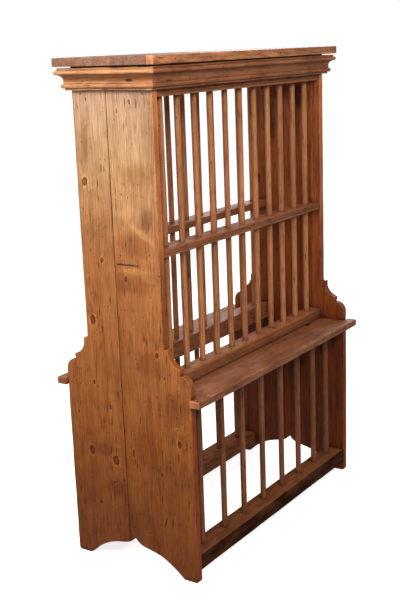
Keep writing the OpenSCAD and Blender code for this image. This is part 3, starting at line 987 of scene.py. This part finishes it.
def cornice_marks(tree, parts, colour):
    """Painted shade in the cove of the side mouldings, and a knot on the neck at the left."""
    # painted shade: the cove of the side mouldings darkened as it is in shadow
    cove = product(tree, between(tree, parts[2], CORNICE_Z + 0.021, CORNICE_Z + 0.029),
                   between(tree, parts[2], CORNICE_Z + 0.036, CORNICE_Z + 0.042, 1.0, 0.0))
    colour = tint(tree, cove, colour, (0.62, 0.46, 0.33))
    left = calc(tree, "LESS_THAN", parts[0], 0.0)
    knot = patch(tree, parts, -0.080, CORNICE_Z + 0.0275, 0.020, 0.0058, 0.0, 0.2)
    return tint(tree, product(tree, knot, left), colour, (0.10, 0.06, 0.04))


def top_marks(tree, parts, colour):
    """Pale and dark mottling on the end grain of the top board."""
    end = end_grain(tree, parts)
    where = point(tree, *parts)
    fleck = between(tree, noise(tree, where, (90, 90, 160), 4.0, 0.7), 0.45, 0.66)
    colour = tint(tree, end, colour, (0.80, 0.86, 1.0))
    colour = tint(tree, product(tree, end, fleck), colour, (1.55, 1.62, 1.70))
    dark = between(tree, noise(tree, where, (45, 45, 80), 3.0, 0.6), 0.55, 0.75)
    return tint(tree, product(tree, end, dark), colour, (0.50, 0.42, 0.38))


def lipping_marks(tree, parts, colour):
    """Dark blotches along the face of a lipping, and a pale patch on its end grain."""
    where = point(tree, *parts)
    blotch = between(tree, noise(tree, where, (9, 20, 60), 4.0, 0.65), 0.50, 0.68)
    colour = tint(tree, product(tree, blotch, 0.8), colour, (0.45, 0.34, 0.28))
    end = end_grain(tree, parts)
    from_edge = calc(tree, "SUBTRACT", TOP_Y, calc(tree, "ABSOLUTE", parts[1]))
    pale = product(tree, end, between(tree, from_edge, 0.007, 0.019, 1.0, 0.0))
    colour = tint(tree, product(tree, end, 0.5), colour, (0.85, 0.80, 0.80))
    return tint(tree, pale, colour, (1.15, 1.38, 1.7))


def shelf_marks(tree, parts, colour):
    """Pale worn streaks and dark stains on a shelf, and paler end grain on the front ears."""
    where = point(tree, *parts)
    streak = between(tree, noise(tree, where, (7, 60, 30), 5.0, 0.7), 0.50, 0.66)
    colour = tint(tree, product(tree, streak, 0.8), colour, (1.50, 1.45, 1.35))
    stain = between(tree, noise(tree, where, (12, 26, 26), 4.0, 0.65), 0.56, 0.70)
    colour = tint(tree, product(tree, stain, 0.8), colour, (0.45, 0.34, 0.27))
    ear = between(tree, calc(tree, "ABSOLUTE", parts[0]), OUTER_X + 0.006, OUTER_X + 0.009)
    ear = product(tree, ear, calc(tree, "LESS_THAN", parts[1], 0.0))
    return tint(tree, ear, colour, (1.6, 1.75, 1.75))


def rusty_iron():
    """Old iron: dark scale broken by brown rust."""
    material, tree, surface = new_material("rusty_iron")
    coords = add(tree, "TexCoord").outputs["Object"]
    rust = noise(tree, coords, (420, 420, 420), 4.0, 0.65)
    colour = blend(tree, between(tree, rust, 0.4, 0.62), (0.035, 0.026, 0.022), (0.16, 0.062, 0.025))
    tree.links.new(colour, surface.inputs["Base Color"])
    tree.links.new(between(tree, rust, 0.3, 0.7, 0.55, 0.85), surface.inputs["Roughness"])
    surface.inputs["Metallic"].default_value = 0.6
    bump = add(tree, "Bump", {"Height": rust, "Strength": 0.5, "Distance": 0.0003})
    tree.links.new(bump.outputs[0], surface.inputs["Normal"])
    return material


# ---------- the rack ----------

# pale wood, under its tones
HONEY = (0.43, 0.175, 0.062)        # ends
WEATHERED = (0.26, 0.125, 0.066)    # top board
GOLDEN = (0.50, 0.200, 0.080)       # front lipping
SCRUBBED = (0.48, 0.235, 0.110)     # side mouldings
RUSSET = (0.32, 0.115, 0.042)       # long mouldings, and rails above the shelves
WAXED = (0.26, 0.100, 0.042)        # shelves
STRAW = (0.50, 0.20, 0.075)         # long spindles
SMOKED = (0.26, 0.090, 0.032)       # short spindles
SOOTY = (0.22, 0.078, 0.032)        # bottom rails

# dark wood of the grain
AMBER = (0.24, 0.072, 0.020)
RED_BROWN = (0.17, 0.050, 0.018)
UMBER = (0.085, 0.026, 0.010)

# tints of the ends by height, partly the wood's own tone and partly painted light and shade:
# darker towards the floor, each face tinted in its own way, bleached towards the top of the
# outer faces, with a pale bluish painted sheen at the very top
INSIDE = (
    (0.10, (0.42, 0.20, 0.06)), (0.45, (0.44, 0.19, 0.05)), (0.60, (0.44, 0.22, 0.09)),
    (0.70, (0.66, 0.40, 0.20)), (1.00, (0.80, 0.50, 0.29)), (1.50, (1.02, 0.76, 0.58)),
)
EDGES = (
    (0.10, (0.72, 0.34, 0.09)), (0.50, (0.60, 0.26, 0.06)), (0.63, (0.68, 0.46, 0.28)),
    (0.96, (0.74, 0.48, 0.27)), (1.06, (1.20, 0.95, 0.64)), (1.50, (1.46, 1.20, 0.90)),
)
OUTSIDE = (
    (0.10, (0.50, 0.33, 0.13)), (0.40, (0.70, 0.52, 0.25)), (0.60, (0.81, 0.65, 0.41)),
    (0.90, (0.96, 0.87, 0.68)), (1.05, (0.97, 0.98, 0.92)), (1.30, (1.12, 1.65, 2.25)),
    (1.50, (1.08, 1.68, 3.10)),
)

# knots in the boards of the left end: height, distance back from the middle, radius across
# the grain, and length over width
LEFT_REAR_KNOTS = [
    (1.236, 0.118, 0.008, 1.5), (1.480, 0.095, 0.003, 1.6), (0.998, 0.070, 0.006, 1.3),
    (0.806, 0.120, 0.009, 1.5), (0.370, 0.155, 0.009, 1.5), (0.351, 0.059, 0.011, 1.4),
    (0.194, 0.134, 0.005, 1.2), (0.493, 0.201, 0.004, 1.4), (0.603, 0.146, 0.003, 1.5),
    (0.602, 0.129, 0.004, 1.8), (0.276, 0.070, 0.004, 1.2), (0.290, 0.032, 0.004, 1.2),
    (0.528, 0.069, 0.002, 4.0), (0.471, 0.069, 0.002, 3.0), (0.599, 0.204, 0.003, 1.4),
]
LEFT_FRONT_KNOTS = [
    (1.472, -0.064, 0.004, 1.8), (1.447, -0.018, 0.003, 2.2), (1.196, -0.042, 0.003, 1.3),
    (0.949, -0.019, 0.005, 1.6), (0.722, -0.121, 0.006, 1.4), (0.390, -0.013, 0.005, 2.2),
    (0.504, -0.046, 0.002, 6.0), (0.450, -0.191, 0.007, 1.4), (0.387, -0.153, 0.003, 2.2),
    (0.450, -0.231, 0.003, 1.4), (0.339, -0.120, 0.004, 1.3), (0.654, -0.145, 0.003, 1.5),
    (0.497, -0.185, 0.003, 1.2), (0.130, -0.060, 0.003, 1.5),
]


def build_ends():
    """The two boards of each end. The left end's have knots and marks of their own, and the
    right end's have knots left to chance."""
    own_marks = {("left", "front"): left_front_marks, ("left", "rear"): left_rear_marks}
    own_knots = {("left", "front"): LEFT_FRONT_KNOTS, ("left", "rear"): LEFT_REAR_KNOTS}
    heart_x = {"left": -0.60, "right": 0.44}
    heart_y = {"front": -0.09, "rear": 0.10}
    boards = [(side, face) for side in heart_x for face in FACES]
    for number, (side, face) in enumerate(boards):
        which = (side, face)
        wood = old_pine(f"pine_{side}_{face}", "Z", (heart_y[face], heart_x[side]), HONEY, AMBER,
                        ends=True, knots=own_knots.get(which, ()),
                        share=0.0 if which in own_knots else 0.35, seed=number,
                        marks=own_marks.get(which, right_end_marks))
        end_board(side, face, wood)


def build_top():
    """The top board, its lippings, and the cornice below them."""
    top_wood = old_pine("pine_top", "X", (0.03, TOP - 0.09), WEATHERED, RED_BROWN, share=0.2,
                        seed=5, marks=top_marks)
    lip_wood = old_pine("pine_lipping", "X", (0.02, TOP + 0.05), GOLDEN, RED_BROWN, seed=6,
                        marks=lipping_marks)
    for node in ("top_board", "top_front_lipping", "top_rear_lipping"):
        lo, hi = low(node), high(node)
        wood = lip_wood if node == "top_front_lipping" else top_wood
        flat_board(node, rectangle(lo[0], hi[0], lo[1], hi[1]), 0.0018, wood, 31)

    heart = (0.0, TOP - 0.15)
    long_wood = old_pine("pine_moulding_long", "X", heart, RUSSET, RED_BROWN, seed=7, scale=0.8)
    side_wood = old_pine("pine_moulding_short", "Y", heart, SCRUBBED, AMBER, seed=8, scale=0.8,
                         marks=cornice_marks)
    cornice_length("cornice_front", OUTER_X, UPPER_Y, 0, long_wood, 41)
    cornice_length("cornice_rear", OUTER_X, UPPER_Y, 180, long_wood, 44)
    cornice_length("cornice_left", UPPER_Y, OUTER_X, -90, side_wood, 47)
    cornice_length("cornice_right", UPPER_Y, OUTER_X, 90, side_wood, 50)


def build_rails_and_shelves():
    """The four rails and the shelf of each face, from the top down."""
    rail_wood = old_pine("pine_rails", "X", (0.02, 0.9), RUSSET, RED_BROWN, seed=9, scale=0.8)
    low_wood = old_pine("pine_bottom_rails", "X", (0.0, -0.08), SOOTY, UMBER, seed=10, dull=0.8,
                        marks=dark_outward_faces, shine=0.05)
    shelf_wood = old_pine("pine_shelves", "X", (0.06, 0.50), WAXED, RED_BROWN, share=0.25,
                          seed=11, marks=shelf_marks, wear=1.5)
    reeds = (0.3, 0.62)
    for number, face in enumerate(FACES):
        rail(f"top_rail_{face}", 0.0015, reeds, rail_wood, 60 + number)
        rail(f"middle_rail_{face}", 0.0020, reeds, rail_wood, 63 + number)
        rail(f"waist_rail_{face}", 0.0022, reeds, rail_wood, 66 + number)
        rail(f"bottom_rail_{face}", 0.0030, (), low_wood, 69 + number)
        flat_board(f"shelf_{face}", shelf_outline(face), 0.0030, shelf_wood,
                   72 + number)


def build_spindles():
    """The long spindles above the shelves and the short ones below, front and rear."""
    heart = (0.3, 0.2)
    long_wood = old_pine("pine_long_spindles", "Z", heart, STRAW, RED_BROWN, seed=12, scale=0.6)
    short_wood = old_pine("pine_short_spindles", "Z", heart, SMOKED, UMBER, seed=13, scale=0.6)
    for face in FACES:
        for number, node in enumerate(row("long", face)):
            spindle(node, long_wood, 100 + 2 * number + (face == "rear"))
        for number, node in enumerate(row("short", face)):
            spindle(node, short_wood, 200 + 2 * number + (face == "rear"))


# ---------- floor, light and camera ----------

def plain_floor():
    """A wide pale floor. It is seen by the camera only, so it throws no light on the wood."""
    mesh = bpy.data.meshes.new("floor")
    reach = 30.0
    corners = [(-reach, -reach, 0), (reach, -reach, 0), (reach, reach, 0), (-reach, reach, 0)]
    mesh.from_pydata(corners, [], [(0, 1, 2, 3)])
    material, _, surface = new_material("pale_floor")
    surface.inputs["Base Color"].default_value = (0.85, 0.85, 0.85, 1)
    surface.inputs["Roughness"].default_value = 0.9
    surface.inputs["Emission Color"].default_value = (1, 1, 1, 1)
    surface.inputs["Emission Strength"].default_value = 0.75
    mesh.materials.append(material)
    floor = into_scene("floor", mesh)
    floor.visible_diffuse = False
    floor.visible_glossy = False


def soft_light(name, place, aim, size, power, colour=(1, 1, 1)):
    """A square soft light at a place, turned to face a point."""
    lamp = bpy.data.lights.new(name, "AREA")
    lamp.shape = "SQUARE"
    lamp.size = size
    lamp.energy = power
    lamp.color = colour
    light = into_scene(name, lamp)
    light.location = place
    way = Vector(aim) - Vector(place)
    light.rotation_euler = way.to_track_quat("-Z", "Y").to_euler()
    light.visible_camera = False


def studio():
    """Pale surroundings, a large soft light at the left and weaker ones round the rack."""
    world = bpy.data.worlds.new("studio")
    world.use_nodes = True
    tree = world.node_tree
    tree.nodes.clear()
    seen = add(tree, "Background", {"Color": (1, 1, 1, 1), "Strength": 1.0})
    cast = add(tree, "Background", {"Color": (1, 0.985, 0.96, 1), "Strength": 0.36})
    path = add(tree, "LightPath")
    both = add(tree, "MixShader", {0: path.outputs["Is Camera Ray"], 1: cast.outputs[0],
                                   2: seen.outputs[0]})
    out = tree.nodes.new("ShaderNodeOutputWorld")
    tree.links.new(both.outputs[0], out.inputs[0])
    bpy.context.scene.world = world
    soft_light("key", (-2.0, -0.2, 2.3), (-0.5, 0, 1.2), 1.3, 50, (1.0, 0.97, 0.93))
    soft_light("front", (-1.6, -2.4, 2.6), (-0.3, 0, 1.3), 1.0, 60)
    soft_light("right", (3.0, 1.2, 2.6), (0, 0, 0.9), 1.6, 45)
    soft_light("back", (-0.4, 2.6, 3.2), (0, 0, 0.9), 1.6, 40)


def camera():
    """The view from the left and in front, just above the height of the rack's top, with the
    camera leaning a little to one side."""
    lens = bpy.data.cameras.new("camera")
    lens.sensor_fit = "VERTICAL"
    lens.sensor_height = 24.0
    lens.lens = 41.84
    lens.clip_end = 200
    place, aim = Vector((-2.928, -1.924, 1.626)), Vector((-0.1016, 0.0, 0.7882))
    level = (aim - place).to_track_quat("-Z", "Y").to_matrix()
    lean = Matrix.Rotation(math.radians(-2.13), 3, "Z")
    view = into_scene("camera", lens)
    view.location = place
    view.rotation_euler = (level @ lean).to_euler()
    bpy.context.scene.camera = view


bpy.context.scene.view_settings.view_transform = "Standard"
camera()
plain_floor()
studio()
build_ends()
build_top()
build_rails_and_shelves()
build_spindles()
cut_nails(rusty_iron())
